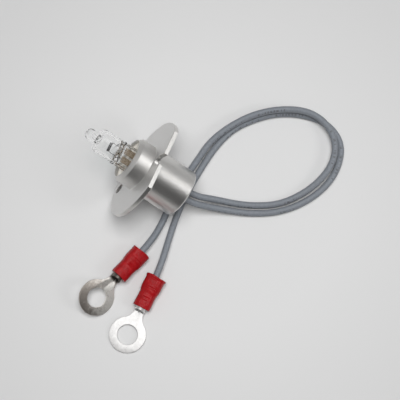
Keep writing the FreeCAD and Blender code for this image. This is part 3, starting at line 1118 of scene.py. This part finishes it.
def sleeve_skin_ring(share, seed, plain, segments):
    half_width, half_height = sleeve_half_sizes(share)
    x = sleeve_length * share
    lip = 0 if plain else rear_lip * (1 - blend_step(share, 0.045, 0.085))
    ring = []
    for turn in turns_of(segments):
        cosine, sine = math.cos(turn), math.sin(turn)
        radius = lip + squared_radius(cosine, sine, half_width, half_height, sleeve_squareness)
        y, z = radius * cosine, radius * sine
        steep = min(abs(sine) * 1.6, 1)
        depth = sleeve_press(x / mm, y / mm, sine > 0, plain) * mm * steep
        ripple = noise.noise(Vector((x, y, z + seed * mm)) / (1.5 * mm)) * 0.07 * mm
        z -= math.copysign(depth, sine) - ripple * steep
        ring.append(Vector((x + slump(turn, share, seed), y, z)))
    return ring


def sleeve_bore_ring(share, radius, seed, segments):
    wider = radius * (1 + 0.28 * (1 - share) ** 2)
    return [Vector((sleeve_length * share + slump(turn, share, seed),
                    wider * math.cos(turn), radius * math.sin(turn))) for turn in turns_of(segments)]


def make_sleeve(name, place, seed, plain):
    segments = 96
    rings = [sleeve_skin_ring(share, seed, plain, segments) for share in spread(0, 1, 110)]
    rings += [sleeve_bore_ring(share, radius * mm, seed, segments) for share, radius in sleeve_bore]
    piece = shown(name, outward(ring_bands(rings, closed_along=True)), 40)
    modifier = piece.modifiers.new("edges", "BEVEL")
    modifier.width = sleeve_edge
    modifier.segments = 3
    modifier.limit_method = "ANGLE"
    modifier.angle_limit = math.radians(50)
    return put(settle(piece, 60), terminal_frame(place))


# Conductor ends


def strand_tree(sizes):
    """Nineteen strands laid in a twisted bundle along z."""
    tree, inputs, outputs = tree_with_inputs("strand_bundle", sizes)
    line = node(tree, "GeometryNodeMeshLine", {"mode": "END_POINTS"}, Count=24,
                Offset=combined(tree, 0, 0, inputs["Length"]))
    joined = node(tree, "GeometryNodeJoinGeometry")
    for ring, count in ((0, 3), (1, 6), (2, 12)):
        circle = node(tree, "GeometryNodeMeshCircle", Vertices=count,
                      Radius=times(tree, inputs["Spacing"], ring))
        tree.links.new(circle.outputs[0], joined.inputs[0])
    laid = node(tree, "GeometryNodeInstanceOnPoints", Points=joined.outputs[0],
                Instance=curve_of(tree, line))
    real = node(tree, "GeometryNodeRealizeInstances", Geometry=laid.outputs[0]).outputs[0]
    place = node(tree, "GeometryNodeInputPosition").outputs[0]
    angle = times(tree, separated(tree, place)["Z"], inputs["Twist"])
    twist = node(tree, "ShaderNodeVectorRotate", {"rotation_type": "Z_AXIS"}, Vector=place, Angle=angle)
    bundle = round_wire(tree, moved(tree, real, twist.outputs[0]), inputs["Strand Radius"], 8)
    finish_tree(tree, bundle, inputs, outputs)
    return tree


def make_strands(name, place, skin):
    sizes = {"Length": strand_length, "Spacing": strand_spacing, "Twist": strand_twist,
             "Strand Radius": strand_radius}
    bundle = along_x(grown(name, strand_tree(sizes), sizes, skin))
    start = Matrix.Translation((barrel_start - lead_stop, 0, 0))
    return put(bundle, terminal_frame(place) @ start)


# Surroundings


def make_floor():
    bpy.ops.mesh.primitive_plane_add(size=8, location=(0, 0, 0))
    floor = bpy.context.object
    floor.name = "floor"
    made, tree, skin = new_material("floor", (0.66, 0.66, 0.66), 0.75)
    place = node(tree, "ShaderNodeTexCoord").outputs["Object"]
    # Painted pool of light: the floor's colour is lightest at the centre and darker further out, standing
    # in for the fall of the light
    away = vector_node(tree, "DISTANCE", place, light_pool_centre)
    far = math_node(tree, "DIVIDE", away, light_pool_falloff)
    tone = ramp(tree, far, [(0.0, 0.67), (0.5, 0.66), (1.0, 0.60)])
    feed(tree, skin, Base_Color=tone, Specular_IOR_Level=0.2)
    floor.data.materials.append(made)


def area_lamp(name, place, width, depth, power, unseen_by):
    lamp_data = bpy.data.lights.new(name, "AREA")
    lamp_data.shape = "RECTANGLE"
    lamp_data.size = width
    lamp_data.size_y = depth
    lamp_data.energy = power
    light = added(name, lamp_data)
    light.location = place
    for ray in ("camera", "transmission", unseen_by):
        setattr(light, "visible_" + ray, False)
    return light


def make_lamps():
    """Two lamps that only show in gloss, and two that give the light and the shadow."""
    area_lamp("softbox", (0.58, 0.46, 0.75), 0.6, 0.75, 2.7, "diffuse")
    area_lamp("ceiling", (-0.02, 0.14, 0.75), 0.6, 0.6, 1.02, "diffuse")
    area_lamp("key", (0.03, 0.0, 0.8), 0.42, 0.42, 5.7, "glossy")
    side = area_lamp("side", (0.6, 0.1, 0.5), 0.22, 0.22, 0.75, "glossy")
    side.rotation_euler = side.location.to_track_quat("Z", "Y").to_euler()


def make_world():
    """An even fill for the light, a room with one dark side for gloss, and pale beyond the glass."""
    world = bpy.data.worlds.new("studio")
    bpy.context.scene.world = world
    world.use_nodes = True
    tree = world.node_tree
    way = node(tree, "ShaderNodeTexCoord").outputs["Generated"]
    facing = vector_node(tree, "DOT_PRODUCT", way, dark_side)
    room = ramp(tree, scaled(tree, facing, 0.5, 1.0),
                [(0.5, 0.45), (0.78, 0.45), (0.9, 0.11), (1.0, 0.08)])
    path = node(tree, "ShaderNodeLightPath").outputs
    passed = math_node(tree, "ADD", path["Diffuse Depth"], path["Transmission Depth"])
    mirrored = math_node(tree, "SUBTRACT", path["Is Glossy Ray"], passed)
    through = math_node(tree, "MINIMUM", path["Transmission Depth"], 1)
    through = math_node(tree, "SUBTRACT", through, path["Diffuse Depth"])
    seen = colour_mix(tree, math_node(tree, "MAXIMUM", mirrored, 0), (fill_level,) * 3, room)
    seen = colour_mix(tree, math_node(tree, "MAXIMUM", through, 0), seen, pale_glass)
    seen = colour_mix(tree, path["Is Camera Ray"], seen, pale_room)
    feed(tree, tree.nodes["Background"], Color=seen)


def finish_node(name, skin):
    packed = frame["nodes"][name]
    paint(packed, skin)


def mount_piece(piece, node_name, skin):
    paint(piece, skin)
    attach(piece, "root")
    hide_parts(node_name)
    return piece


def make_end(name, side, route, place, metal):
    """One lead with its terminal, sleeve and strands. The lead names the pieces it carries."""
    ring = make_terminal("ring_terminal_" + name, place)
    mount_piece(ring, "terminal_" + name, metal)
    sleeve = make_sleeve("vinyl_sleeve_" + name, place, side, side > 0)
    vinyl = red_vinyl("red_vinyl_" + name, terminal_frame(place))
    mount_piece(sleeve, "sleeve_" + name, vinyl)
    strands = make_strands("strands_" + name, place, conductor)
    mount_piece(strands, "strand_" + name, conductor)
    jacket = lead_jacket("lead_jacket_" + name)
    make_lead(name, side, route, place, jacket)


bpy.context.scene.view_settings.view_transform = "Standard"
place_camera()

conductor = drawn_wire("tinned_strand", (0.72, 0.69, 0.65), 0.3)
# The last number of each gives how much colour stays under the painted shade at the barrel's mouth.
stained_tin = tinned_metal("tinned_left", (0.93, 0.90, 0.85), (0.47, 0.425, 0.385),
                           terminal_frame(left_terminal), 0.05, 0.4)
bright_tin = tinned_metal("tinned_right", (0.94, 0.93, 0.92), (0.82, 0.81, 0.80),
                          terminal_frame(right_terminal), 0.0, 0.95)
make_end("left", 1, left_route, left_terminal, stained_tin)
make_end("right", -1, right_route, right_terminal, bright_tin)

mount_piece(make_holder(), "holder", turned_aluminium())
mount_piece(make_bulb(), "bulb_envelope", clear_quartz())
tungsten = drawn_wire("tungsten", (0.16, 0.155, 0.16), 0.4)
mount_piece(make_filament(tungsten), "filament", tungsten)
cement = ceramic_cement()
front_plug = make_cement("front_cement_plug", cement_top, cement_depth, 1, 3)
mount_piece(front_plug, "front_cement", cement)
rear_plug = make_cement("rear_cement_plug", rear_cement_face, rear_cement_depth, -1, 7)
mount_piece(rear_plug, "rear_cement", cement)

foil = molybdenum_foil()
nickel = drawn_wire("lead_in_wire", (0.55, 0.53, 0.50), 0.32)
splice_metal = drawn_wire("splice_metal", (0.66, 0.64, 0.60), 0.28)
sleeving = plain_paint("splice_sleeving", (0.80, 0.78, 0.72), 0.7, 3.0)
for name in ("left", "right"):
    finish_node("foil_" + name, foil)
    finish_node("pin_" + name, nickel)
    finish_node("splice_" + name, splice_metal)
    finish_node("splice_sleeve_" + name, sleeving)
    finish_node("core_" + name, conductor)

make_floor()
make_lamps()
make_world()
